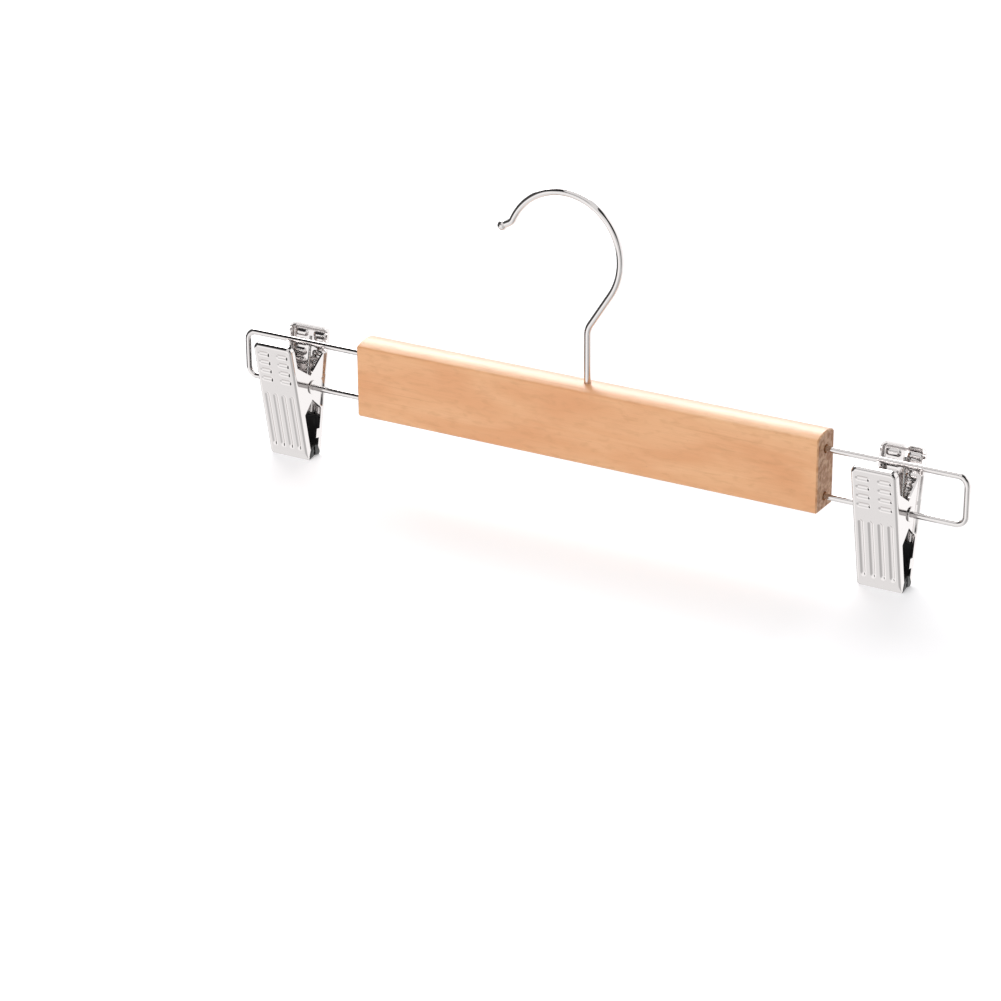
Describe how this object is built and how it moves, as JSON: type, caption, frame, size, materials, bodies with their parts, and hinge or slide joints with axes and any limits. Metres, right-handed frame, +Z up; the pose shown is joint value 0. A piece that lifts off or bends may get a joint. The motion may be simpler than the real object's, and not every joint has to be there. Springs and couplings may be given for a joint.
{
  "type": "skirt hanger",
  "caption": "Wooden skirt hanger with a swivelling wire hook and sprung metal clips with rubber jaws that slide on wire rails at the ends of the bar.",
  "frame": {"origin": "the hook's seat: inside of the top of its bend, where a wardrobe rail carries it", "axes": "+X along the bar, +Y away from the front of the bar, +Z up"},
  "size_m": [0.321, 0.0306, 0.1345],
  "materials": {
    "lacquered_wood": "clear satin lacquer",
    "chromed_wire": "bright plated wire",
    "chromed_sheet": "bright plated pressing",
    "plain_steel": "zinc plated",
    "spring_steel": "drawn spring wire",
    "black_rubber": "moulded, matt"
  },
  "bodies": {
    "hook": {"hook": "chromed_wire", "hook_washer": "plain_steel"},
    "bar": {"wood_bar": "lacquered_wood", "left_rail": "chromed_wire", "right_rail": "chromed_wire"},
    "left_slider": {"left_clip_sleeve": "chromed_sheet"},
    "left_back": {"left_back_plate": "chromed_sheet", "left_back_pad": "black_rubber", "left_clip_spring": "spring_steel"},
    "left_front": {"left_front_plate": "chromed_sheet", "left_front_pad": "black_rubber"},
    "right_slider": {"right_clip_sleeve": "chromed_sheet"},
    "right_back": {"right_back_plate": "chromed_sheet", "right_back_pad": "black_rubber", "right_clip_spring": "spring_steel"},
    "right_front": {"right_front_plate": "chromed_sheet", "right_front_pad": "black_rubber"}
  },
  "joints": [
    {"name": "hook_swivel", "type": "hinge", "parent": "hook", "child": "bar", "pos_m": [0.0106, 0, -0.0759], "axis": [0, 0, 1], "continuous": true},
    {"name": "left_clip_slide", "type": "slide", "parent": "bar", "child": "left_slider", "axis": [1, 0, 0], "range_m": [-0.0077, 0.0254]},
    {"name": "left_clip_swing", "type": "hinge", "parent": "left_slider", "child": "left_back", "pos_m": [-0.12701, 0, -0.10069], "axis": [1, 0, 0], "range_deg": [-10, 10]},
    {"name": "left_jaw", "type": "hinge", "parent": "left_back", "child": "left_front", "pos_m": [-0.12701, 0, -0.10069], "axis": [-1, 0, 0], "range_deg": [0, 20], "stiffness_Nm_per_rad": 0.2, "springref_deg": -34.38, "deforming": ["left_clip_spring"]},
    {"name": "right_clip_slide", "type": "slide", "parent": "bar", "child": "right_slider", "axis": [1, 0, 0], "range_m": [-0.0157, 0.0174]},
    {"name": "right_clip_swing", "type": "hinge", "parent": "right_slider", "child": "right_back", "pos_m": [0.13849, 0, -0.10069], "axis": [1, 0, 0], "range_deg": [-10, 10]},
    {"name": "right_jaw", "type": "hinge", "parent": "right_back", "child": "right_front", "pos_m": [0.13849, 0, -0.10069], "axis": [-1, 0, 0], "range_deg": [0, 20], "stiffness_Nm_per_rad": 0.2, "springref_deg": -34.38, "deforming": ["right_clip_spring"]}
  ]
}
